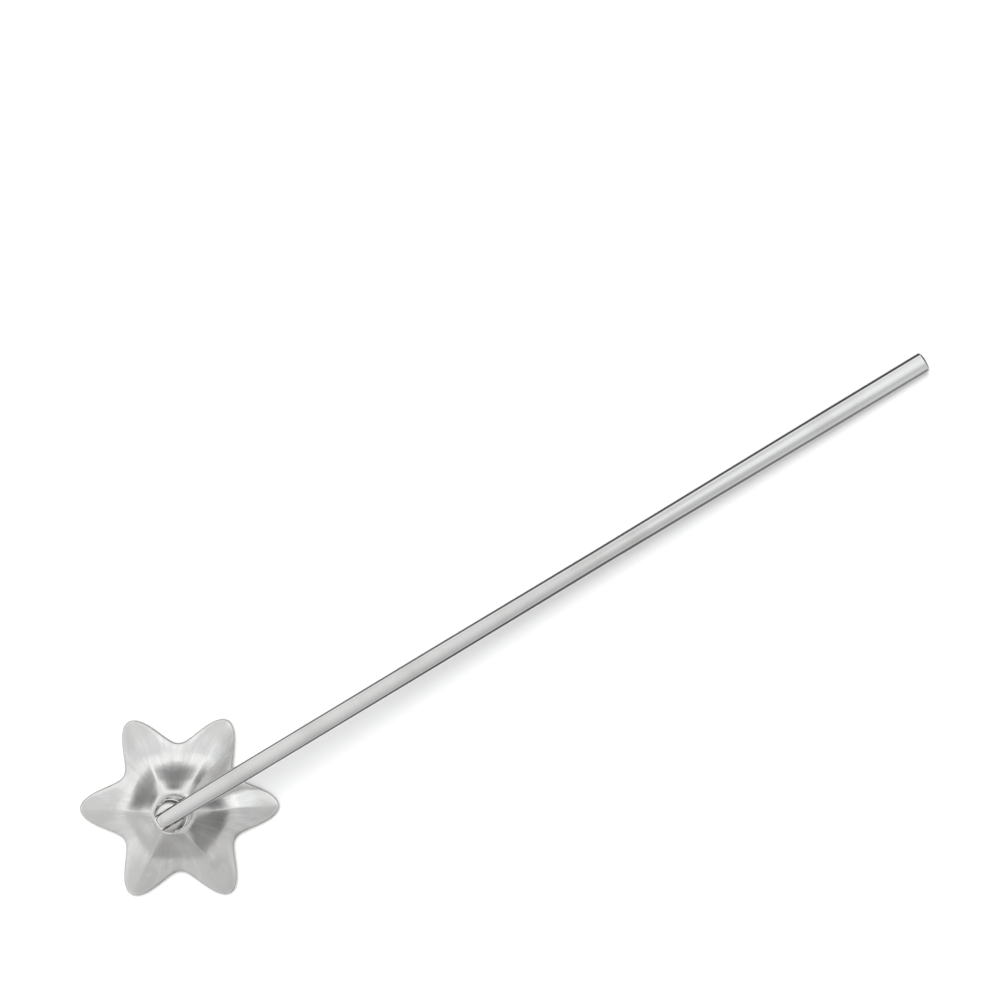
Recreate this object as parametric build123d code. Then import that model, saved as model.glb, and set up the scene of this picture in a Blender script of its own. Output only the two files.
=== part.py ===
from build123d import *

# Star wand: a slim polished metal handle hinged to a hollow six-pointed star bell.
#
# The bell stands mouth down on its rim, and the handle leans from the hinge to the surface, where
# its butt end rests. A slotted knob is bolted through the bell's crown. The handle's rounded end
# turns in the knob's slot, on a pin that is riveted at both ends.
#
# Millimetres, +Z up. The origin is on the resting surface, at the middle of the wand's footprint.
# The handle runs towards +X, above the notch between two of the star's points.

import os
from math import asin, cos, degrees, hypot, pi, radians, sin

# ---------------------------------------------------------------- driving dimensions

OVERALL_LENGTH = 250.0  # from the star's rear points to the butt end

# Bell
POINTS = 6  # points of the star
SECTOR = 360.0 / POINTS  # degrees from one point to the next
WALL = 0.7  # metal thickness of the bell

# The bell's outside, level by level: height, radius at a point's ridge, radius in the valley
# between two points, and how sharp the ridge is, from 0 (rounded) to 1 (a crisp crease).
BELL_LEVELS = [
    (0.0, 26.10, 16.85, 0.0),
    (0.7, 26.10, 16.85, 0.0),
    (0.9, 25.85, 16.65, 0.1),
    (1.1, 25.20, 16.30, 0.2),
    (1.4, 23.70, 15.70, 0.3),
    (1.75, 21.50, 14.90, 0.45),
    (2.2, 19.00, 13.85, 0.6),
    (2.75, 16.60, 12.75, 0.75),
    (3.4, 14.65, 11.70, 0.9),
    (4.2, 12.85, 10.55, 1.0),
    (5.2, 10.90, 9.20, 1.0),
    (6.2, 9.05, 7.88, 1.0),
    (7.0, 7.50, 6.80, 1.0),
    (7.55, 6.40, 6.05, 1.0),
    (7.9, 5.70, 5.50, 1.0),
    (8.1, 5.15, 5.10, 1.0),
]
TIP_SHARE = 0.26  # a point's outline is a blend of two powers of a cosine, and this is the second's share
TIP_POWER = 6
CROWN_HEIGHT = BELL_LEVELS[-1][0]

# Knob
STUD_RADIUS = 1.5  # M3 stud under the knob
STUD_LENGTH = 4.4  # below the top of the crown
STUD_HOLE_RADIUS = 1.7
KNOB_RADIUS = 4.5
KNOB_SHOULDER = 4.8  # height of the knob's straight side above the crown
KNOB_HEIGHT = 6.65  # to the top of its dome
FLANGE_RADIUS = 4.7
FLANGE_HEIGHT = 1.6
SLOT_WIDTH = 4.2
SLOT_FLOOR = 0.65  # metal left under the slot
END_REACH = 3.6  # from the pin to the handle's rounded end
END_ROUNDING = 2.0  # radius of that end, seen from the side
END_GAP = 0.15  # between the rounded end and the slot's floor as it swings past
PIN_HEIGHT = CROWN_HEIGHT + SLOT_FLOOR + END_GAP + END_REACH
PIN_SETBACK = 0.35  # the pin sits this far behind the knob's own axis

# Pin
PIN_RADIUS = 1.0
PIN_GAP = 0.05  # radial running clearance in the handle's hole
PIN_GRIP = 0.01  # radial interference in the knob's cheeks
PIN_HEAD_RADIUS = 1.25
PIN_HEAD_HEIGHT = 0.55
SPOTFACE_RADIUS = 1.4  # flat seats for the pin's two heads
SPOTFACE_DEPTH = 0.6

# Washer and nut on the stud
WASHER_RADIUS = 3.5
WASHER_THICKNESS = 0.5
WASHER_HOLE_RADIUS = 1.6
NUT_ACROSS_FLATS = 5.5
NUT_THICKNESS = 2.4
NUT_BORE_RADIUS = 1.52  # the nut and the stud are drawn without their threads

# The handle's sections: distance from the pin, width and thickness.
HANDLE_SECTIONS = [
    (-5.0, 2.30, 3.80),
    (-3.6, 2.95, 3.80),
    (-2.0, 3.62, 3.80),
    (0.0, 4.00, 3.80),
    (4.2, 4.10, 3.75),
    (9.0, 4.25, 3.50),
    (15.5, 4.45, 3.27),
    (26.0, 4.60, 3.12),
    (80.0, 4.78, 3.02),
    (130.0, 4.66, 2.96),
    (162.0, 5.00, 2.95),
    (195.0, 5.34, 2.98),
]
BUTT_WIDTH = 5.50
BUTT_THICKNESS = 3.00
BUTT_ROUNDING = [(0.45, 0.0), (0.13, 0.16), (0.0, 0.60)]  # distance from the end, size lost
CHAMFER_WIDTH = 0.50  # of the bar's four long edges, seen from above
CHAMFER_HEIGHT = 0.38
TOP_CROWN = 0.28  # rise of the bar's softly domed top and underside


# ---------------------------------------------------------------- the star's outline

def point_share(t, crease):
    """How far out the outline is between a ridge (t = 0, share 1) and a valley (t = 1, share 0)."""
    swing = cos(t * pi / 2)
    rounded = (1 - TIP_SHARE) * swing**2 + TIP_SHARE * swing**TIP_POWER
    creased = (1 - t) ** 2
    return (1 - crease) * rounded + crease * creased


def outline_radius(angle, ridge, valley, crease):
    """Radius of the star's outline at an angle in degrees from a ridge."""
    from_ridge = abs((angle + SECTOR / 2) % SECTOR - SECTOR / 2)
    return valley + (ridge - valley) * point_share(from_ridge / (SECTOR / 2), crease)


def outline_point(angle, height, ridge, valley, crease):
    radius = outline_radius(angle, ridge, valley, crease)
    turned = radians(angle + SECTOR / 2)  # a valley faces +X
    return Vector(radius * cos(turned), radius * sin(turned), height)


def rear_reach():
    """How far the star reaches behind its own centre, away from the handle."""
    rim = BELL_LEVELS[0][1:]
    angles = [a / 20 for a in range(int(20 * SECTOR / 2))]
    return max(outline_radius(a, *rim) * cos(radians(a - SECTOR / 2)) for a in angles)


BELL_X = rear_reach() - OVERALL_LENGTH / 2
PIN_X = BELL_X - PIN_SETBACK


# ---------------------------------------------------------------- the handle's lean

def end_sections(length):
    """The last few sections of the handle, which round its butt end."""
    return [(length - back, BUTT_WIDTH - loss, BUTT_THICKNESS - loss) for back, loss in BUTT_ROUNDING]


def lean_and_length():
    """The handle's lean in radians and its length, so that its butt rests at the full reach."""
    reach_wanted = OVERALL_LENGTH / 2 - PIN_X
    lean = asin(PIN_HEIGHT / reach_wanted)
    length = reach_wanted
    for _ in range(30):
        ends = end_sections(length)
        reach = max(s * cos(lean) + t / 2 * sin(lean) for s, _, t in ends)
        drop = max(s * sin(lean) + t / 2 * cos(lean) for s, _, t in ends)
        length += reach_wanted - reach
        lean += (PIN_HEIGHT - drop) / length
    return lean, length


HANDLE_LEAN, HANDLE_LENGTH = lean_and_length()


# ---------------------------------------------------------------- the bell

def star_wire(height, ridge, valley, crease):
    """The closed outline at one height, as one spline from each ridge to the next."""
    spans = 20
    shares = [(1 - cos(pi * i / spans)) / 2 for i in range(spans + 1)]  # closer together at the ridges
    edges = []
    for k in range(POINTS):
        points = [outline_point(SECTOR * (k + share), height, ridge, valley, crease) for share in shares]
        edges.append(Edge.make_spline(points))
    return Wire(edges)


def inward_profile(column):
    """One profile curve, ridge or valley, moved in by the wall's thickness: height and radius."""
    moved = []
    last = len(BELL_LEVELS) - 1
    for i in range(1, last + 1):
        below = BELL_LEVELS[i - 1]
        above = BELL_LEVELS[min(i + 1, last)]
        rise = above[0] - below[0]
        run = below[column] - above[column]
        slope = hypot(rise, run)
        height = BELL_LEVELS[i][0] - WALL * run / slope
        radius = BELL_LEVELS[i][column] - WALL * rise / slope
        if height > 0 and (not moved or height > moved[-1][0]):
            moved.append((height, radius))
    return moved


def at_height(profile, height):
    """The value of a profile at a height, held constant past its two ends."""
    if height <= profile[0][0]:
        return profile[0][1]
    for (low, start), (high, end) in zip(profile, profile[1:]):
        if height <= high:
            return start + (end - start) * (height - low) / (high - low)
    return profile[-1][1]


def hollow_levels():
    """Levels of the bell's hollow, from just below the rim to the underside of the crown."""
    ridges = inward_profile(1)
    valleys = inward_profile(2)
    creases = [(level[0] - WALL, level[3]) for level in BELL_LEVELS]
    heights = [-1.0, 0.0, 0.3, 0.5, 0.7, 0.95, 1.3, 1.8, 2.45, 3.2, 4.1, 5.0, 5.8, 6.5, 7.0]
    heights.append(CROWN_HEIGHT - WALL)
    return [(h, at_height(ridges, h), at_height(valleys, h), at_height(creases, h)) for h in heights]


def star_bell():
    """Hollow star bell with a flat rim, and a hole through the crown for the knob's stud."""
    outside = Solid.make_loft([star_wire(*level) for level in BELL_LEVELS], ruled=True)
    hollow = Solid.make_loft([star_wire(*level) for level in hollow_levels()], ruled=True)
    hole = Pos(0, 0, CROWN_HEIGHT) * Cylinder(STUD_HOLE_RADIUS, 6 * WALL)
    return Pos(BELL_X, 0, 0) * (outside - hollow - hole)


# ---------------------------------------------------------------- the hinge

def knob_body():
    """The knob before it is slotted: a collar, a straight side and a low dome, turned about Z."""
    shoulder = CROWN_HEIGHT + KNOB_SHOULDER
    top = CROWN_HEIGHT + KNOB_HEIGHT
    side = Polyline(
        (0, CROWN_HEIGHT),
        (FLANGE_RADIUS, CROWN_HEIGHT),
        (FLANGE_RADIUS, CROWN_HEIGHT + FLANGE_HEIGHT - 0.1),
        (FLANGE_RADIUS - 0.1, CROWN_HEIGHT + FLANGE_HEIGHT),
        (KNOB_RADIUS, CROWN_HEIGHT + FLANGE_HEIGHT),
        (KNOB_RADIUS, shoulder),
    )
    cap = top - shoulder
    sphere = (KNOB_RADIUS**2 + cap**2) / (2 * cap)
    halfway = sphere * sin(asin(KNOB_RADIUS / sphere) / 2)
    middle = (halfway, top - sphere + (sphere**2 - halfway**2) ** 0.5)
    dome = ThreePointArc((KNOB_RADIUS, shoulder), middle, (0, top))
    half = make_face([*side.edges(), dome, Line((0, top), (0, CROWN_HEIGHT))])
    return revolve(Rot(90, 0, 0) * half, Axis.Z)


def hinge_knob():
    """Round slotted knob on a low collar, with a stud below and flat seats for the pin's heads."""
    stud = Pos(0, 0, CROWN_HEIGHT - STUD_LENGTH / 2) * Cylinder(STUD_RADIUS, STUD_LENGTH)
    stud = chamfer(stud.edges().group_by(Axis.Z)[0], 0.3)
    slot_height = KNOB_HEIGHT - SLOT_FLOOR + 1
    slot = Pos(0, 0, CROWN_HEIGHT + SLOT_FLOOR + slot_height / 2) * Box(12, SLOT_WIDTH, slot_height)
    knob = knob_body() + stud - slot
    pin_axis = Pos(-PIN_SETBACK, 0, PIN_HEIGHT) * Rot(90, 0, 0)
    knob -= pin_axis * Cylinder(PIN_RADIUS - PIN_GRIP, 12)
    for side in (-1, 1):
        seat = pin_axis * Pos(0, 0, side * (KNOB_RADIUS - SPOTFACE_DEPTH + 1))
        knob -= seat * Cylinder(SPOTFACE_RADIUS, 2)
    return Pos(BELL_X, 0, 0) * knob


def hinge_pin():
    """Plain pin with a low domed rivet head on each of the knob's cheeks."""
    seat = KNOB_RADIUS - SPOTFACE_DEPTH
    pin = Cylinder(PIN_RADIUS, 2 * seat)
    for side in (-1, 1):
        head = Cylinder(PIN_HEAD_RADIUS, PIN_HEAD_HEIGHT)
        head = fillet(head.edges().group_by(Axis.Z)[-1], 0.4)
        turn = Rot(0, 0, 0) if side > 0 else Rot(180, 0, 0)
        pin += turn * Pos(0, 0, seat + PIN_HEAD_HEIGHT / 2) * head
    return Pos(PIN_X, 0, PIN_HEIGHT) * Rot(90, 0, 0) * pin


def stud_washer():
    """Flat washer between the crown's underside and the nut."""
    top = CROWN_HEIGHT - WALL
    ring = Cylinder(WASHER_RADIUS, WASHER_THICKNESS) - Cylinder(WASHER_HOLE_RADIUS, 2)
    return Pos(BELL_X, 0, top - WASHER_THICKNESS / 2) * ring


def stud_nut():
    """Hexagon nut, chamfered at its corners, that clamps the knob to the crown."""
    top = CROWN_HEIGHT - WALL - WASHER_THICKNESS
    nut = extrude(RegularPolygon(NUT_ACROSS_FLATS / 2, 6, major_radius=False), NUT_THICKNESS)
    cone = Cylinder(NUT_ACROSS_FLATS / 2 + 0.25, NUT_THICKNESS)
    cone = Pos(0, 0, NUT_THICKNESS / 2) * chamfer(cone.edges(), 0.3)
    nut = nut & cone
    nut -= Cylinder(NUT_BORE_RADIUS, 4 * NUT_THICKNESS)
    return Pos(BELL_X, 0, top - NUT_THICKNESS) * nut


# ---------------------------------------------------------------- the handle

def section_wire(distance, width, thickness):
    """The bar's section at a distance from the pin: crowned top and underside, chamfered edges."""
    a = width / 2
    b = thickness / 2
    inset = a - CHAMFER_WIDTH
    edge = b - TOP_CROWN
    side = edge - CHAMFER_HEIGHT

    def at(across, up):
        return Vector(distance, across, up)

    return Wire([
        Edge.make_three_point_arc(at(-inset, edge), at(0, b), at(inset, edge)),
        Edge.make_line(at(inset, edge), at(a, side)),
        Edge.make_line(at(a, side), at(a, -side)),
        Edge.make_line(at(a, -side), at(inset, -edge)),
        Edge.make_three_point_arc(at(inset, -edge), at(0, -b), at(-inset, -edge)),
        Edge.make_line(at(-inset, -edge), at(-a, -side)),
        Edge.make_line(at(-a, -side), at(-a, side)),
        Edge.make_line(at(-a, side), at(-inset, edge)),
    ])


def end_trim():
    """What is cut from the bar's hinge end to round it, seen from the side."""
    start = END_ROUNDING - END_REACH
    block = Pos(start - 5, 0, 0) * Box(10, 10, 10)
    return block - Pos(start, 0, 0) * Rot(90, 0, 0) * Cylinder(END_ROUNDING, 20)


def handle_bar():
    """Slim bar with a softly domed top, from the rounded, drilled hinge end to the square butt end."""
    sections = HANDLE_SECTIONS + end_sections(HANDLE_LENGTH)
    bar = Solid.make_loft([section_wire(*section) for section in sections], ruled=True)
    handle = bar - end_trim()
    handle -= Rot(90, 0, 0) * Cylinder(PIN_RADIUS + PIN_GAP, 20)
    return Pos(PIN_X, 0, PIN_HEIGHT) * Rot(0, degrees(HANDLE_LEAN), 0) * handle


# ---------------------------------------------------------------- the parts

def main():
    os.makedirs("parts", exist_ok=True)
    parts = {
        "star_bell": star_bell(),
        "hinge_knob": hinge_knob(),
        "hinge_pin": hinge_pin(),
        "stud_washer": stud_washer(),
        "stud_nut": stud_nut(),
        "handle_bar": handle_bar(),
    }
    for name, shape in parts.items():
        export_step(shape, "parts/" + name + ".step")
    print("bell x", round(BELL_X, 3), "pin", round(PIN_X, 3), round(PIN_HEIGHT, 3))
    print("lean", round(degrees(HANDLE_LEAN), 3), "length", round(HANDLE_LENGTH, 3))


main()
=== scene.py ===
"""Star wand: the look of the hinged metal wand with a hollow star bell, built round its CAD frame.

The visible pieces are the bell, the slotted knob with its threaded stud, the pin and the handle,
each rebuilt as a dense mesh from the same driving dimensions as the CAD. Only the handle's edges
differ: their bevels run from 0.42 mm wide at the hinge to 0.70 mm, where the CAD has 0.50 mm
throughout. The washer and the nut keep their CAD meshes. Lengths in the tables are millimetres,
and the scene itself is in metres.
"""

from math import asin, cos, pi, radians, sin

import bmesh
import bpy
import numpy as np
from mathutils import Matrix, Vector


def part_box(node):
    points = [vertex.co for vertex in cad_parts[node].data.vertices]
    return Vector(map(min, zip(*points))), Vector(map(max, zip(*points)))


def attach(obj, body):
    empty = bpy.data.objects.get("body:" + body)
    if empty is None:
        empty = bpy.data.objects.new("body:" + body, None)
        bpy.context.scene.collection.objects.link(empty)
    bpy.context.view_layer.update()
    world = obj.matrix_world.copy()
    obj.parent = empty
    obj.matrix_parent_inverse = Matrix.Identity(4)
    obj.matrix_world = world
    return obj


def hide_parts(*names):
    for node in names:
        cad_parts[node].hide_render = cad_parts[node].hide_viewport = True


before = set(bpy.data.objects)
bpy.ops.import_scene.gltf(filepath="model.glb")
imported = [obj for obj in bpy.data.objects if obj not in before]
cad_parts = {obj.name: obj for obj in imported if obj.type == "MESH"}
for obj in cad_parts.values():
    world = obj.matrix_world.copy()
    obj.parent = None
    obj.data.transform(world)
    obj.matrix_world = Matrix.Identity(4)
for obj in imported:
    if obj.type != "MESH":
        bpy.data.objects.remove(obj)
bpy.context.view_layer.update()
MM = 0.001

# ---------------------------------------------------------------- driving dimensions

POINTS = 6
SECTOR = 360.0 / POINTS
WALL = 0.7
RIM_EDGE = 0.18  # rounding of the rim's two edges

# Height, radius at a point's ridge, radius in a valley, and crease from 0 (rounded) to 1 (crisp).
BELL_LEVELS = [
    (0.0, 26.10, 16.85, 0.0),
    (0.7, 26.10, 16.85, 0.0),
    (0.9, 25.85, 16.65, 0.1),
    (1.1, 25.20, 16.30, 0.2),
    (1.4, 23.70, 15.70, 0.3),
    (1.75, 21.50, 14.90, 0.45),
    (2.2, 19.00, 13.85, 0.6),
    (2.75, 16.60, 12.75, 0.75),
    (3.4, 14.65, 11.70, 0.9),
    (4.2, 12.85, 10.55, 1.0),
    (5.2, 10.90, 9.20, 1.0),
    (6.2, 9.05, 7.88, 1.0),
    (7.0, 7.50, 6.80, 1.0),
    (7.55, 6.40, 6.05, 1.0),
    (7.9, 5.70, 5.50, 1.0),
    (8.1, 5.15, 5.10, 1.0),
]
TIP_SHARE = 0.26
TIP_POWER = 6
CREST_WIDTH = 0.3  # how softly a ridge is rounded where it is creased

CROWN = BELL_LEVELS[-1][0]
STUD_HOLE = 1.7
SLOT_FLOOR = 0.65
SLOT_WIDTH = 4.2
END_REACH = 3.6  # from the pin to the handle's rounded end
END_GAP = 0.15
PIN_HEIGHT = CROWN + SLOT_FLOOR + END_GAP + END_REACH
PIN_SETBACK = 0.35  # the pin sits this far behind the knob's own axis

knob_low, knob_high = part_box("hinge_knob")
handle_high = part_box("handle_bar")[1]
BELL_X = (knob_low.x + knob_high.x) / 2
HINGE = Vector((BELL_X - PIN_SETBACK * MM, 0.0, PIN_HEIGHT * MM))

# ---------------------------------------------------------------- camera

FIELD = 0.26215  # width of the view at the resting surface
CAMERA_HEIGHT = 0.42
SENSOR = 36.0
TURN = radians(-30.93)  # the handle runs up and to the right in the view


def add_camera():
    data = bpy.data.cameras.new("camera")
    data.sensor_width = SENSOR
    data.lens = SENSOR * CAMERA_HEIGHT / FIELD
    data.clip_start = 0.01
    data.clip_end = 20
    camera = bpy.data.objects.new("camera", data)
    camera.location = (BELL_X + 0.1133, 0.0259, CAMERA_HEIGHT)
    camera.rotation_euler = (0, 0, TURN)
    bpy.context.scene.collection.objects.link(camera)
    bpy.context.scene.camera = camera


# ---------------------------------------------------------------- mesh helpers

def add_mesh(name, vertices, faces, smooth_angle=40.0):
    mesh = bpy.data.meshes.new(name)
    mesh.from_pydata([tuple(v) for v in vertices], [], faces)
    mesh.validate()
    mesh.shade_smooth()
    mesh.set_sharp_from_angle(angle=radians(smooth_angle))
    piece = bpy.data.objects.new(name, mesh)
    bpy.context.scene.collection.objects.link(piece)
    return piece


def ring_faces(rows, columns, close_rows):
    """Quads between neighbouring rings of vertices; close_rows joins the last ring to the first."""
    faces = []
    last = rows if close_rows else rows - 1
    for r in range(last):
        for c in range(columns):
            here = r * columns
            there = ((r + 1) % rows) * columns
            nxt = (c + 1) % columns
            faces.append((here + c, here + nxt, there + nxt, there + c))
    return faces


def smooth_rows(rows, count):
    """Rows of a table resampled along its curve by monotone cubic interpolation."""
    table = np.array(rows, float)
    steps = np.hypot(np.diff(table[:, 0]), np.diff(table[:, 1]))
    along = np.concatenate([[0], np.cumsum(steps)])
    wanted = np.linspace(0, along[-1], count)
    out = np.zeros((count, table.shape[1]))
    span = np.diff(along)
    for k in range(table.shape[1]):
        slope = np.diff(table[:, k]) / span
        tangent = np.zeros(len(table))
        same = slope[:-1] * slope[1:] > 0
        low = 2 * span[1:] + span[:-1]
        high = span[1:] + 2 * span[:-1]
        blend = (low + high)[same] / (low[same] / slope[:-1][same] + high[same] / slope[1:][same])
        tangent[1:-1][same] = blend
        tangent[0], tangent[-1] = slope[0], slope[-1]
        cell = np.clip(np.searchsorted(along, wanted, side="right") - 1, 0, len(span) - 1)
        t = (wanted - along[cell]) / span[cell]
        h = span[cell]
        out[:, k] = (
            (1 + 2 * t) * (1 - t) ** 2 * table[cell, k]
            + t * (1 - t) ** 2 * h * tangent[cell]
            + t * t * (3 - 2 * t) * table[cell + 1, k]
            + t * t * (t - 1) * h * tangent[cell + 1]
        )
    return out


def lathe(name, profile, segments=96, smooth_angle=35.0):
    """A closed turned piece about Z from (radius, height) pairs that start and end on the axis."""
    inner = profile[1:-1]
    vertices = []
    for radius, height in inner:
        for s in range(segments):
            angle = 2 * pi * s / segments
            vertices.append((radius * cos(angle), radius * sin(angle), height))
    faces = ring_faces(len(inner), segments, False)
    vertices.append((0, 0, profile[0][1]))
    vertices.append((0, 0, profile[-1][1]))
    first, last = len(vertices) - 2, len(vertices) - 1
    top = (len(inner) - 1) * segments
    for s in range(segments):
        nxt = (s + 1) % segments
        faces.append((first, nxt, s))
        faces.append((last, top + s, top + nxt))
    return add_mesh(name, vertices, faces, smooth_angle)


def apply_modifiers(piece, smooth_angle=35.0):
    """Bakes the modifiers into the mesh."""
    graph = bpy.context.evaluated_depsgraph_get()
    mesh = bpy.data.meshes.new_from_object(piece.evaluated_get(graph))
    piece.modifiers.clear()
    piece.data = mesh
    mesh.shade_smooth()
    mesh.set_sharp_from_angle(angle=radians(smooth_angle))


def merge_close(piece, distance):
    """Joins vertices closer than the distance, which a cut leaves behind."""
    shape = bmesh.new()
    shape.from_mesh(piece.data)
    bmesh.ops.remove_doubles(shape, verts=shape.verts, dist=distance)
    shape.to_mesh(piece.data)
    shape.free()


def cut(piece, tool):
    modifier = piece.modifiers.new("cut", "BOOLEAN")
    modifier.operation = "DIFFERENCE"
    modifier.solver = "EXACT"
    modifier.object = tool


def box_tool(name, low, high):
    corners = [(x, y, z) for x in (low[0], high[0]) for y in (low[1], high[1]) for z in (low[2], high[2])]
    faces = [(0, 1, 3, 2), (4, 6, 7, 5), (0, 4, 5, 1), (2, 3, 7, 6), (0, 2, 6, 4), (1, 5, 7, 3)]
    return add_mesh(name, corners, faces)


def rod_tool(name, radius, start, end, centre, segments=64):
    """A plain rod along Y, from start to end, through the centre (x, z)."""
    piece = lathe(name, [(0, start), (radius, start), (radius, end), (0, end)], segments)
    turn = Matrix.Rotation(radians(-90), 4, "X")
    piece.data.transform(Matrix.Translation((centre[0], 0, centre[1])) @ turn)
    return piece


def settle(piece, lean=0.0, place=Vector((0, 0, 0))):
    """Turns a piece about Y, scales it from millimetres to metres and moves it, in its mesh."""
    turn = Matrix.Rotation(lean, 4, "Y")
    piece.data.transform(Matrix.Translation(place) @ Matrix.Scale(MM, 4) @ turn)
    piece.data.update()
    return piece


# ---------------------------------------------------------------- the bell

def point_share(t, crease, softness):
    swing = np.cos(t * pi / 2)
    rounded = (1 - TIP_SHARE) * swing**2 + TIP_SHARE * swing**TIP_POWER
    soft = np.sqrt(t**2 + softness**2) - softness
    full = np.sqrt(1 + softness**2) - softness
    creased = (1 - soft / full) ** 2
    return (1 - crease) * rounded + crease * creased


def ring_angles(per_side=34):
    """Angles round the star in degrees from a ridge, closer together at the ridges."""
    t = np.linspace(0, 1, per_side, endpoint=False) ** 1.5
    side = np.unique(np.round(np.concatenate([t, 2 - t, [1.0]]), 9))
    side = side[side < 2 - 1e-9]
    return np.concatenate([(side / 2 + k) * SECTOR for k in range(POINTS)])


def star_ring(angles, height, ridge, valley, crease, inset=0.0):
    t = np.abs((angles + SECTOR / 2) % SECTOR - SECTOR / 2) / (SECTOR / 2)
    radius = valley + (ridge - valley) * point_share(t, crease, CREST_WIDTH / valley) - inset
    turned = np.radians(angles + SECTOR / 2)
    return np.stack([radius * np.cos(turned), radius * np.sin(turned), np.full(len(angles), height)], 1)


def inward(rows):
    """Profile rows moved in by the wall's thickness, resampled at common heights."""
    moved = {}
    for column in (1, 2):
        rise = np.gradient(rows[:, 0])
        run = -np.gradient(rows[:, column])
        slope = np.hypot(rise, run)
        moved[column] = (rows[:, 0] - WALL * run / slope, rows[:, column] - WALL * rise / slope)
    heights = np.concatenate([np.linspace(0.0, 2.4, 20), np.linspace(2.6, CROWN - WALL, 30)])
    out = []
    for height in heights:
        sizes = []
        for column in (1, 2):
            z, r = moved[column]
            keep = np.concatenate([[True], np.maximum.accumulate(z)[:-1] < z[1:]])
            sizes.append(np.interp(height, z[keep], r[keep]))
        crease = np.interp(height + WALL, rows[:, 0], rows[:, 3])
        out.append((height, sizes[0], sizes[1], crease))
    return out


def make_bell():
    angles = ring_angles()
    outside = smooth_rows(BELL_LEVELS, 110)
    inside = inward(outside)
    rings = []
    for height, ridge, valley, crease in outside[::-1]:  # crown down to the rim
        if height > RIM_EDGE:
            rings.append(star_ring(angles, height, ridge, valley, crease))
    rim = tuple(BELL_LEVELS[0][1:])
    lip = tuple(inside[0][1:])
    for turn in (0.0, 0.33, 0.66, 1.0):
        height = RIM_EDGE * (1 - sin(turn * pi / 2))
        rings.append(star_ring(angles, height, *rim, inset=RIM_EDGE * (1 - cos(turn * pi / 2))))
    for turn in (1.0, 0.66, 0.33, 0.0):
        height = RIM_EDGE * (1 - sin(turn * pi / 2))
        rings.append(star_ring(angles, height, *lip, inset=-RIM_EDGE * (1 - cos(turn * pi / 2))))
    for height, ridge, valley, crease in inside:
        if height > RIM_EDGE:
            rings.append(star_ring(angles, height, ridge, valley, crease))
    for radius in (3.6, STUD_HOLE):
        rings.append(star_ring(angles, CROWN - WALL, radius, radius, 0))
    for radius in (STUD_HOLE, 3.6, 4.95):
        rings.append(star_ring(angles, CROWN, radius, radius, 0))
    piece = add_mesh("bell", np.concatenate(rings[::-1]), ring_faces(len(rings), len(angles), True), 50)
    return settle(piece, place=Vector((BELL_X, 0, 0)))


# ---------------------------------------------------------------- the hinge

KNOB_RADIUS = 4.5
KNOB_SHOULDER = 4.8  # height of the straight side above the crown
KNOB_HEIGHT = 6.65
SHOULDER_ROUNDING = 0.3
KNOB_BEVEL = 0.08  # on the edges that the slot and the pin's holes leave
MERGE_DISTANCE = 0.03  # the cuts leave vertices closer than this, which are joined first
FLANGE_RADIUS = 4.7
FLANGE_HEIGHT = 1.6
FLANGE_ROUNDING = 0.12
FLANGE_FILLET = 0.05
STUD_RADIUS = 1.5
STUD_LENGTH = 4.4
STUD_TOP = CROWN - 0.6  # where the knob's own piece of the stud ends and the threaded one starts
THREAD_PITCH = 0.5
THREAD_DEPTH = 0.22
PIN_RADIUS = 1.0
SPOTFACE_RADIUS = 1.4
SPOTFACE_DEPTH = 0.6
PIN_HEAD_RADIUS = 1.25
PIN_HEAD_HEIGHT = 0.55


def knob_profile():
    top = CROWN + KNOB_HEIGHT
    cap = KNOB_HEIGHT - KNOB_SHOULDER
    sphere = (KNOB_RADIUS**2 + cap**2) / (2 * cap)
    edge_turn = asin(KNOB_RADIUS / sphere)
    profile = [(0, STUD_TOP), (STUD_RADIUS, STUD_TOP), (STUD_RADIUS, CROWN)]
    profile += [(FLANGE_RADIUS - 0.15, CROWN), (FLANGE_RADIUS, CROWN + 0.15)]
    for k in range(5):
        turn = k / 4 * pi / 2
        edge = CROWN + FLANGE_HEIGHT - FLANGE_ROUNDING
        radius = FLANGE_RADIUS - FLANGE_ROUNDING * (1 - cos(turn))
        profile.append((radius, edge + FLANGE_ROUNDING * sin(turn)))
    for k in range(5):
        turn = k / 4 * pi / 2
        height = CROWN + FLANGE_HEIGHT + FLANGE_FILLET * (1 - cos(turn))
        profile.append((KNOB_RADIUS + FLANGE_FILLET * (1 - sin(turn)), height))
    soft = 0.9 * edge_turn
    start = Vector((KNOB_RADIUS, CROWN + KNOB_SHOULDER - SHOULDER_ROUNDING))
    corner = Vector((KNOB_RADIUS, CROWN + KNOB_SHOULDER))
    end = Vector((sphere * sin(soft), top - sphere * (1 - cos(soft))))
    for k in range(10):
        t = k / 10
        profile.append(tuple(start * (1 - t) ** 2 + corner * 2 * t * (1 - t) + end * t * t))
    for k in range(25):
        turn = soft * (1 - k / 25)
        profile.append((sphere * sin(turn), top - sphere * (1 - cos(turn))))
    profile.append((0, top))
    return profile


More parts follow.
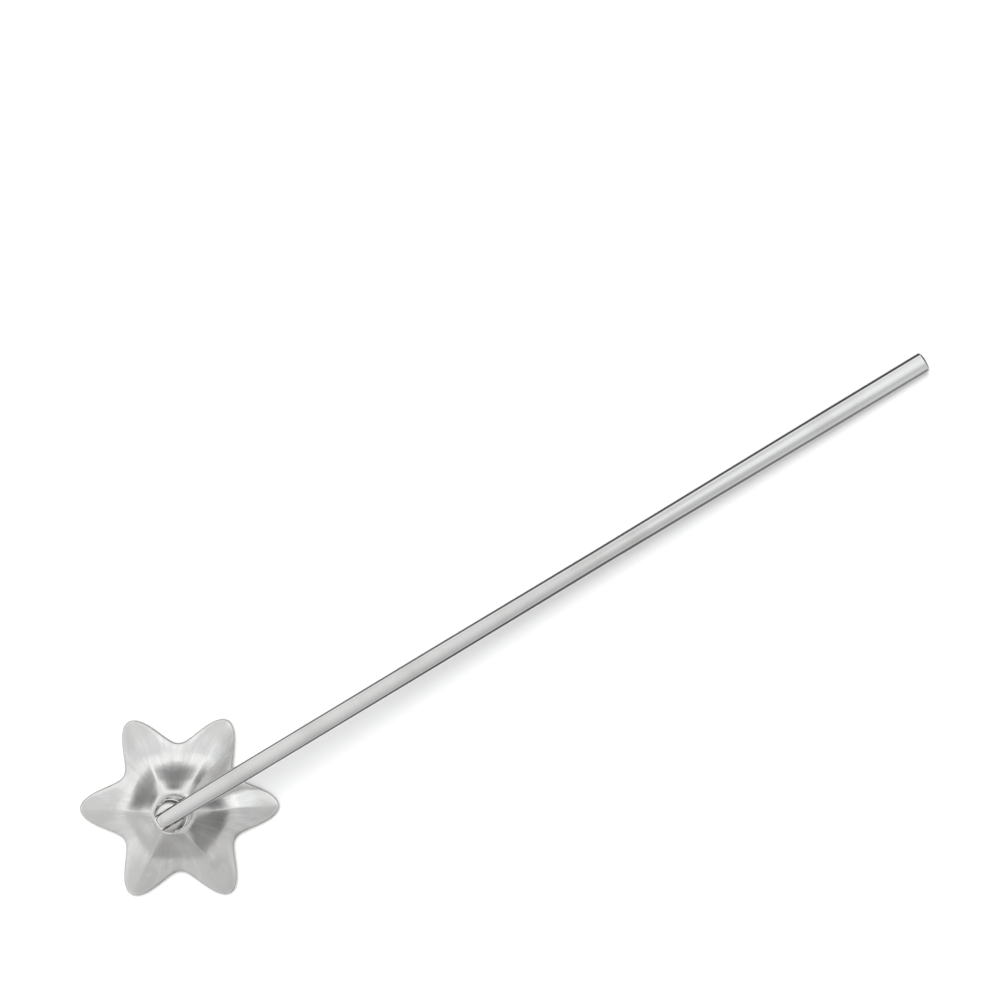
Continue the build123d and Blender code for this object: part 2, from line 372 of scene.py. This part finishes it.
def make_knob():
    piece = lathe("knob", knob_profile(), 128)
    tools = [
        box_tool("slot", (-8, -SLOT_WIDTH / 2, CROWN + SLOT_FLOOR), (8, SLOT_WIDTH / 2, 40)),
        rod_tool("pin_hole", PIN_RADIUS, -8, 8, (-PIN_SETBACK, PIN_HEIGHT)),
    ]
    seat = KNOB_RADIUS - SPOTFACE_DEPTH
    tools.append(rod_tool("seat_left", SPOTFACE_RADIUS, seat, 8, (-PIN_SETBACK, PIN_HEIGHT)))
    tools.append(rod_tool("seat_right", SPOTFACE_RADIUS, -8, -seat, (-PIN_SETBACK, PIN_HEIGHT)))
    for tool in tools:
        cut(piece, tool)
    apply_modifiers(piece, 50)
    merge_close(piece, MERGE_DISTANCE)
    bevel = piece.modifiers.new("edges", "BEVEL")
    bevel.width = KNOB_BEVEL
    bevel.segments = 2
    bevel.limit_method = "ANGLE"
    bevel.angle_limit = radians(60)
    bevel.use_clamp_overlap = False
    apply_modifiers(piece, 50)
    for tool in tools:
        bpy.data.objects.remove(tool)
    return settle(piece, place=Vector((BELL_X, 0, 0)))


def make_stud():
    """The stud below the crown, with its thread, from just above the washer to its chamfered end."""
    segments = 48
    per_turn = 10
    rows = int(STUD_LENGTH / THREAD_PITCH * per_turn)
    low = CROWN - STUD_LENGTH
    high = STUD_TOP
    vertices = []
    for r in range(rows + 1):
        height = low + (high - low) * r / rows
        for s in range(segments):
            phase = (height / THREAD_PITCH - s / segments) % 1.0
            groove = THREAD_DEPTH * (1 - abs(2 * phase - 1)) ** 1.2
            chamfer = max(0.0, 0.3 - (height - low))
            radius = STUD_RADIUS - max(groove, chamfer)
            angle = 2 * pi * s / segments
            vertices.append((radius * cos(angle), radius * sin(angle), height))
    faces = ring_faces(rows + 1, segments, False)
    faces.append(tuple(range(segments))[::-1])
    faces.append(tuple(rows * segments + s for s in range(segments)))
    piece = add_mesh("stud", vertices, faces, 60)
    return settle(piece, place=Vector((BELL_X, 0, 0)))


def make_pin():
    seat = KNOB_RADIUS - SPOTFACE_DEPTH
    half = [(PIN_RADIUS, 0.0), (PIN_RADIUS, seat)]
    half += [(PIN_HEAD_RADIUS - 0.05, seat), (PIN_HEAD_RADIUS, seat + 0.08)]
    for k in range(9):
        turn = k / 9 * pi / 2
        radius = PIN_HEAD_RADIUS * cos(turn) ** 0.7
        half.append((radius, seat + 0.15 + (PIN_HEAD_HEIGHT - 0.15) * sin(turn) ** 0.9))
    end = seat + PIN_HEAD_HEIGHT
    profile = [(0, -end)] + [(r, -z) for r, z in half[::-1]][:-1] + half[1:] + [(0, end)]
    piece = lathe("pin", profile, 64)
    piece.data.transform(Matrix.Rotation(radians(90), 4, "X"))
    return settle(piece, place=HINGE)


# ---------------------------------------------------------------- the handle

# Distance from the pin, width and thickness.
HANDLE_SECTIONS = [
    (-5.0, 2.30, 3.80),
    (-3.6, 2.95, 3.80),
    (-2.0, 3.62, 3.80),
    (0.0, 4.00, 3.80),
    (4.2, 4.10, 3.75),
    (9.0, 4.25, 3.50),
    (15.5, 4.45, 3.27),
    (26.0, 4.60, 3.12),
    (80.0, 4.78, 3.02),
    (130.0, 4.66, 2.96),
    (162.0, 5.00, 2.95),
    (195.0, 5.34, 2.98),
    (228.2, 5.50, 3.00),
]
CHAMFER_WIDTH = 0.70  # full size of the bevels on the bar's four long edges, seen from above
CHAMFER_HEIGHT = 0.50
CHAMFER_START = 0.60  # share of that size at the hinge end
CHAMFER_GROWTH = 120.0  # distance from the pin at which the full size is reached
TOP_CROWN = 0.28  # rise of the bar's softly domed top and underside
CHAMFER_ROUNDING = 0.10
SIDE_ROUNDING = 0.16
END_TURN = 3.0  # length over which the top turns down to the rounded end
BUTT_BEVEL = 0.42  # length of the bevel on the butt end's own edges
BUTT_BEVEL_HEIGHT = 0.195
BUTT_CORNER = 0.22  # rounding of its two corners, seen from above
BUTT_BOW = 0.10  # how far it bows out in the middle


def rounded_corner(before, corner, after, size, steps=5):
    """Points along a soft corner that starts and ends the given distance from the corner."""
    start = corner + (before - corner) * min(size / max((before - corner).length, 1e-6), 0.45)
    end = corner + (after - corner) * min(size / max((after - corner).length, 1e-6), 0.45)
    ts = [k / (steps - 1) for k in range(steps)]
    return [start * (1 - t) ** 2 + corner * 2 * t * (1 - t) + end * t * t for t in ts]


def section_outline(half_width, half_height, share=1.0):
    """The bar's closed outline (across, up): a softly domed top, chamfered edges, upright sides."""
    chamfer_width = min(CHAMFER_WIDTH * share, 0.4 * half_width)
    chamfer_height = min(CHAMFER_HEIGHT * share, 0.4 * half_height)
    crown = min(TOP_CROWN, 0.2 * half_height)
    inset = half_width - chamfer_width
    edge = half_height - crown
    side = edge - chamfer_height
    places = [(half_width, 0), (half_width, side), (inset, edge), (0, edge)]
    quarter = [Vector(place) for place in places]
    soft = min(1.0, half_height / 1.0)
    right = rounded_corner(*quarter[:3], SIDE_ROUNDING * soft)
    right += rounded_corner(*quarter[1:], CHAMFER_ROUNDING * soft)
    last = right[-1].x
    dome = [Vector((last * (1 - k / 7), edge)) for k in range(1, 7)]
    outline = []
    for point in right + dome:
        outline.append((point.x, point.y))
    top = outline + [(0.0, edge)] + [(-y, z) for y, z in outline[::-1]]
    domed = []
    for y, z in top:
        rise = crown * max(0.0, 1 - (y / inset) ** 2) if abs(y) < inset else 0.0
        domed.append((y, z + rise))
    return domed + [(-y, -z) for y, z in domed]


def handle_stations(length):
    """Distances from the pin at which the handle has a section."""
    start = [-END_REACH + END_TURN * (1 - cos(k / 20 * pi / 2)) for k in range(20)]
    body = list(np.linspace(END_TURN - END_REACH, 30, 40)) + list(np.linspace(32, length - 3, 90))
    corner = [length - 2.0, length - 1.2, length - BUTT_BEVEL]
    end = [length - BUTT_CORNER * (1 - sin(k / 12 * pi / 2)) for k in range(13)]
    return start + body + corner + end


def edge_loss(distance, size):
    """How much a rounded edge of the given size takes off at a distance from the end."""
    near = max(0.0, 1 - distance / size)
    return size * (1 - (1 - min(near, 1.0) ** 2) ** 0.5)


def make_handle(length, lean):
    table = np.array(HANDLE_SECTIONS)
    stations = handle_stations(length)
    vertices = []
    for s in stations:
        half_width = np.interp(s, table[:, 0], table[:, 1]) / 2
        half_height = np.interp(s, table[:, 0], table[:, 2]) / 2
        past = min(max((END_TURN - END_REACH - s) / END_TURN, 0.0), 1.0)
        half_height = max(half_height * (1 - past**2.2) ** (1 / 2.2), 0.03)
        half_width -= edge_loss(s + END_REACH + 0.01, 0.45)
        half_width -= edge_loss(length - s, BUTT_CORNER)
        half_height -= BUTT_BEVEL_HEIGHT * max(0.0, 1 - (length - s) / BUTT_BEVEL)
        bow = BUTT_BOW * min(1.0, max(0.0, 1 - (length - s) / 4)) ** 2
        share = CHAMFER_START + (1 - CHAMFER_START) * min(max(s / CHAMFER_GROWTH, 0.0), 1.0)
        for across, up in section_outline(half_width, half_height, share):
            vertices.append((s - bow * (2 * across / table[-1, 1]) ** 2, across, up))
    columns = len(section_outline(1, 1))
    faces = ring_faces(len(stations), columns, False)
    faces.append(tuple(range(columns))[::-1])
    faces.append(tuple((len(stations) - 1) * columns + k for k in range(columns)))
    piece = add_mesh("handle", vertices, faces, 22)
    hole = rod_tool("pin_clearance", PIN_RADIUS + 0.05, -6, 6, (0, 0))
    cut(piece, hole)
    apply_modifiers(piece, 22)
    bpy.data.objects.remove(hole)
    return settle(piece, lean, HINGE)


# ---------------------------------------------------------------- materials

class Graph:
    """Small helper for building a node tree."""

    def __init__(self, tree):
        self.tree = tree
        self.tree.nodes.clear()

    def node(self, kind, links=None, **values):
        item = self.tree.nodes.new(kind)
        for key, value in values.items():
            if key in item.inputs:
                item.inputs[key].default_value = value
            else:
                setattr(item, key, value)
        for key, source in (links or {}).items():
            self.tree.links.new(source, item.inputs[key])
        return item


def maths(graph, operation, a, b=None, clamp=False):
    item = graph.node("ShaderNodeMath", operation=operation, use_clamp=clamp)
    for slot, value in enumerate((a, b)):
        if value is None:
            continue
        if isinstance(value, (int, float)):
            item.inputs[slot].default_value = value
        else:
            graph.tree.links.new(value, item.inputs[slot])
    return item.outputs[0]


def remap(graph, value, low, high, to_low, to_high):
    item = graph.node("ShaderNodeMapRange", {"Value": value})
    item.inputs["From Min"].default_value = low
    item.inputs["From Max"].default_value = high
    item.inputs["To Min"].default_value = to_low
    item.inputs["To Max"].default_value = to_high
    return item.outputs[0]


def noise(graph, vector, scale, detail=3.0, roughness=0.5):
    item = graph.node(
        "ShaderNodeTexNoise", {"Vector": vector}, Scale=scale, Detail=detail, Roughness=roughness
    )
    return item.outputs[0]


def stretched(graph, vector, scale):
    return graph.node("ShaderNodeMapping", {"Vector": vector}, Scale=scale).outputs[0]


def streaks_and_shade_band(graph, place):
    """Soft brush marks that run out from the bell's axis, and a ring of painted shade towards the points'
    ends, where the curving petals reflect darker.
    """
    out = graph.node("ShaderNodeVectorMath", {0: place}, operation="MULTIPLY_ADD")
    out.inputs[1].default_value = (1, 1, 0)
    out.inputs[2].default_value = (-BELL_X, 0, 0)
    across = graph.node("ShaderNodeVectorMath", {0: out.outputs[0]}, operation="NORMALIZE")
    radius = graph.node("ShaderNodeVectorMath", {0: out.outputs[0]}, operation="LENGTH")
    away = graph.node("ShaderNodeCombineXYZ", {"Z": maths(graph, "MULTIPLY", radius.outputs["Value"], 9.0)})
    both = graph.node("ShaderNodeVectorMath", {0: across.outputs[0], 1: away.outputs[0]}, operation="ADD")
    marks = noise(graph, both.outputs[0], 12.0, 4.0, 0.6)
    # Painted shade: a darker ring from about 19 to 25.6 mm out, standing in for the darker reflections
    # where the petals curve down to their ends.
    rising = remap(graph, radius.outputs["Value"], 0.0190, 0.0232, 0.0, 1.0)
    falling = remap(graph, radius.outputs["Value"], 0.0240, 0.0256, 1.0, 0.0)
    return marks, maths(graph, "MULTIPLY", rising, falling)


def painted_slot_shade(graph, place, colour, half_width):
    """The colour painted dark brown inside a slot of the given half width about the XZ plane: painted shade
    in the slot's recess.
    """
    across = graph.node("ShaderNodeSeparateXYZ", {"Vector": place}).outputs[1]
    outside = maths(graph, "ABSOLUTE", across)
    inside = remap(graph, outside, half_width * 0.98, half_width * 1.03, 1.0, 0.0)
    mix = graph.node("ShaderNodeMix", {"Factor": inside}, data_type="RGBA")
    graph.tree.links.new(colour, mix.inputs[6])
    # Painted shade: a dark brown tone over the slot's floor and walls, where the recess is in shade.
    mix.inputs[7].default_value = (0.22, 0.19, 0.15, 1)
    return mix.outputs[2], inside


def metal(
    name, colour, darker_tone, roughness, grain,
    grain_scale=(1, 1, 1), wave=0.0, brush_and_shade_strength=0.0, wear=1.0, metallic=1.0, slot=0.0,
):
    """Polished metal: hairline grain, fine speckle, soft smudges, brush marks, brighter worn edges, painted
    shade towards the bell's points and painted shade inside the knob's slot.
    """
    material = bpy.data.materials.new(name)
    material.use_nodes = True
    graph = Graph(material.node_tree)
    place = graph.node("ShaderNodeTexCoord").outputs["Object"]
    hairlines = noise(graph, stretched(graph, place, grain_scale), 900.0, 2.0, 0.6)
    speckle = noise(graph, place, 3200.0, 1.0, 0.5)
    cloud = noise(graph, place, 90.0, 4.0, 0.55)
    brush, painted_shade_band = streaks_and_shade_band(graph, place)
    film = remap(graph, cloud, 0.45, 0.75, 0.0, 1.0)
    # The brush marks and the painted shade of the points' ends darken the colour together.
    brush_and_painted_shade = maths(graph, "ADD", remap(graph, brush, 0.35, 0.7, 0.0, 1.0), painted_shade_band)
    marks = maths(graph, "MULTIPLY", brush_and_painted_shade, brush_and_shade_strength)
    fine = remap(graph, speckle, 0.3, 0.7, 0.0, 0.3)
    amount = maths(graph, "ADD", maths(graph, "ADD", film, marks), fine, clamp=True)
    tone = graph.node("ShaderNodeMix", data_type="RGBA")
    tone.inputs[6].default_value = (*colour, 1)
    tone.inputs[7].default_value = (*darker_tone, 1)
    graph.tree.links.new(amount, tone.inputs[0])
    sharp = graph.node("ShaderNodeNewGeometry").outputs["Pointiness"]
    edges = remap(graph, sharp, 0.53, 0.60, 0.0, wear)
    rubbed = maths(graph, "MULTIPLY", edges, remap(graph, cloud, 0.4, 0.6, 0.3, 1.0))
    worn = graph.node("ShaderNodeMix", data_type="RGBA")
    worn.inputs[7].default_value = (*(min(1.0, c * 1.12) for c in colour), 1)
    graph.tree.links.new(rubbed, worn.inputs[0])
    graph.tree.links.new(tone.outputs[2], worn.inputs[6])
    rough = maths(graph, "ADD", remap(graph, film, 0, 1, roughness, roughness + 0.05),
                  remap(graph, hairlines, 0.3, 0.7, -0.02, 0.03))
    rough = maths(graph, "ADD", rough, maths(graph, "MULTIPLY", marks, 0.05))
    final = worn.outputs[2]
    if slot:
        final, inside = painted_slot_shade(graph, place, final, slot)
        rough = maths(graph, "ADD", rough, maths(graph, "MULTIPLY", inside, 0.3))
    swell = noise(graph, place, 160.0, 1.0, 0.4)
    scratches = maths(graph, "MULTIPLY", hairlines, grain)
    bumps = maths(graph, "ADD", scratches, maths(graph, "MULTIPLY", swell, wave))
    bumps = maths(graph, "ADD", bumps, maths(graph, "MULTIPLY", brush, 2.0 * brush_and_shade_strength))
    bump = graph.node("ShaderNodeBump", {"Height": bumps}, Strength=1.0, Distance=0.00002)
    shader = graph.node(
        "ShaderNodeBsdfPrincipled",
        {"Base Color": final, "Roughness": rough, "Normal": bump.outputs[0]},
        Metallic=metallic,
    )
    graph.node("ShaderNodeOutputMaterial", {"Surface": shader.outputs[0]})
    return material


def finish_piece(piece, material, body, node):
    piece.data.materials.clear()
    piece.data.materials.append(material)
    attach(piece, body)
    if node:
        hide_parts(node)


# ---------------------------------------------------------------- light and floor

IMAGE_UP = Vector((sin(-TURN), cos(-TURN), 0))
IMAGE_RIGHT = Vector((cos(-TURN), -sin(-TURN), 0))
SOFTBOX = Vector((0.42, 0.05, 0.906))  # a second lamp over the handle's butt end
BRIGHT_SIDE = Vector((0.2, 0.98, 0))  # the lamps are a little stronger on this side
STUDIO_UP = Vector((-0.21, 0, 0.978))  # the lamps' own axis leans a little towards the star
LIT_WALLS = [  # parts of the studio's wall that are lit: direction, where the light ends, strength
    (-IMAGE_RIGHT * 0.6 - IMAGE_UP * 0.8, 0.30, 0.80),
    (IMAGE_RIGHT * 0.966 - IMAGE_UP * 0.242, 0.66, 0.74),
]


def add_world():
    """A white studio with a dark line of unlit wall round the horizon, seen only in reflections."""
    world = bpy.data.worlds.new("studio")
    bpy.context.scene.world = world
    world.use_nodes = True
    graph = Graph(world.node_tree)
    direction = graph.node("ShaderNodeTexCoord").outputs["Generated"]
    height = graph.node("ShaderNodeVectorMath", {0: direction}, operation="DOT_PRODUCT")
    height.inputs[1].default_value = STUDIO_UP
    ramp = graph.node("ShaderNodeValToRGB", {"Fac": remap(graph, height.outputs["Value"], -1, 1, 0, 1)})
    ramp.color_ramp.interpolation = "B_SPLINE"
    stops = [
        (0.00, (0.70, 0.70, 0.70)),
        (0.49, (0.30, 0.30, 0.30)),
        (0.51, (0.05, 0.049, 0.048)),
        (0.66, (0.06, 0.06, 0.06)),
        (0.73, (0.34, 0.34, 0.345)),
        (0.80, (1.38, 1.385, 1.39)),
        (0.84, (1.30, 1.305, 1.31)),
        (0.895, (0.725, 0.74, 0.75)),
        (0.94, (0.80, 0.815, 0.825)),
        (1.00, (1.02, 1.02, 1.02)),
    ]
    elements = ramp.color_ramp.elements
    elements[0].position, elements[0].color = stops[0][0], (*stops[0][1], 1)
    elements[1].position, elements[1].color = stops[-1][0], (*stops[-1][1], 1)
    for position, colour in stops[1:-1]:
        elements.new(position).color = (*colour, 1)
    amount = 0.0
    for wall, edge, gain in LIT_WALLS:
        facing = graph.node("ShaderNodeVectorMath", {0: direction}, operation="DOT_PRODUCT")
        facing.inputs[1].default_value = wall
        share = remap(graph, facing.outputs["Value"], edge, 1.0, 0.0, gain)
        amount = maths(graph, "ADD", share, amount)
    lit = graph.node("ShaderNodeMix", {"Factor": amount}, data_type="RGBA")
    graph.tree.links.new(ramp.outputs[0], lit.inputs[6])
    lit.inputs[7].default_value = (1.0, 1.0, 1.0, 1)
    side = graph.node("ShaderNodeVectorMath", {0: direction}, operation="DOT_PRODUCT")
    side.inputs[1].default_value = BRIGHT_SIDE
    strength = remap(graph, side.outputs["Value"], -1, 1, 0.64, 1.36)
    box = graph.node("ShaderNodeVectorMath", {0: direction}, operation="DOT_PRODUCT")
    box.inputs[1].default_value = SOFTBOX
    strength = maths(graph, "ADD", strength, remap(graph, box.outputs["Value"], 0.945, 0.995, 0.0, 0.5))
    studio = graph.node("ShaderNodeBackground", {"Color": lit.outputs[2], "Strength": strength})
    backdrop = graph.node("ShaderNodeBackground", Color=(0.9, 0.9, 0.9, 1), Strength=1.0)
    seen = graph.node("ShaderNodeLightPath").outputs["Is Camera Ray"]
    mix = graph.node("ShaderNodeMixShader", {0: seen, 1: studio.outputs[0], 2: backdrop.outputs[0]})
    graph.node("ShaderNodeOutputWorld", {"Surface": mix.outputs[0]})


def add_area(name, place, target, size, power):
    data = bpy.data.lights.new(name, "AREA")
    data.shape = "RECTANGLE"
    data.size, data.size_y = size
    data.energy = power
    lamp = bpy.data.objects.new(name, data)
    lamp.location = place
    lamp.rotation_euler = (Vector(target) - Vector(place)).to_track_quat("-Z", "Y").to_euler()
    lamp.visible_camera = False
    lamp.visible_glossy = False
    bpy.context.scene.collection.objects.link(lamp)


def add_floor():
    size = 1.6
    vertices = [(-size, -size, 0), (size, -size, 0), (size, size, 0), (-size, size, 0)]
    floor = add_mesh("floor", vertices, [(0, 1, 2, 3)])
    material = bpy.data.materials.new("floor")
    material.use_nodes = True
    graph = Graph(material.node_tree)
    shader = graph.node("ShaderNodeBsdfPrincipled", Roughness=0.9)
    shader.inputs["Base Color"].default_value = (0.88, 0.88, 0.88, 1)
    shader.inputs["Specular IOR Level"].default_value = 0.1
    graph.node("ShaderNodeOutputMaterial", {"Surface": shader.outputs[0]})
    floor.data.materials.append(material)
    floor.location.z = -0.00005


# ---------------------------------------------------------------- the scene

def solve_handle():
    """The handle's length and lean: its butt end rests on the surface, at the end of the CAD's box."""
    reach = (handle_high.x - HINGE.x) / MM
    lean = 0.1
    length = reach
    half = HANDLE_SECTIONS[-1][2] / 2
    for _ in range(30):
        s = length - BUTT_BEVEL
        lean += (PIN_HEIGHT - (s * sin(lean) + half * cos(lean))) / length
        length += reach - length * cos(lean) - (half - BUTT_BEVEL_HEIGHT) * sin(lean)
    return length, lean


add_camera()
add_world()
key_place = Vector((BELL_X + 0.09, 0.02, 0.95)) + IMAGE_UP * 0.46 - IMAGE_RIGHT * 0.10
add_area("key", key_place, (0, 0, 0), (0.8, 0.8), 8.0)
add_floor()

silver = metal(
    "bell_silver", (0.73, 0.73, 0.725), (0.62, 0.615, 0.60), 0.12, 0.04,
    wave=3.0, brush_and_shade_strength=0.7, wear=0.0, metallic=0.9,
)
mirror = metal(
    "handle_silver", (0.69, 0.69, 0.68), (0.62, 0.61, 0.60), 0.07, 0.12, grain_scale=(0.03, 1, 1)
)
knob_metal = metal(
    "knob_silver", (0.66, 0.66, 0.65), (0.56, 0.55, 0.53), 0.12, 0.15,
    grain_scale=(1, 1, 6), slot=SLOT_WIDTH / 2 * MM,
)
pin_metal = metal("pin_silver", (0.62, 0.61, 0.60), (0.5, 0.49, 0.47), 0.16, 0.4)
steel = metal("plain_steel", (0.55, 0.55, 0.55), (0.45, 0.44, 0.42), 0.24, 0.5)

length, lean = solve_handle()
finish_piece(make_bell(), silver, "bell", "star_bell")
finish_piece(make_knob(), knob_metal, "bell", "hinge_knob")
finish_piece(make_stud(), steel, "bell", None)
finish_piece(make_pin(), pin_metal, "bell", "hinge_pin")
finish_piece(make_handle(length, lean), mirror, "handle", "handle_bar")
for node in ("stud_washer", "stud_nut"):
    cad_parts[node].data.materials.clear()
    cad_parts[node].data.materials.append(steel)

scene = bpy.context.scene
scene.view_settings.view_transform = "Standard"
scene.view_settings.look = "None"
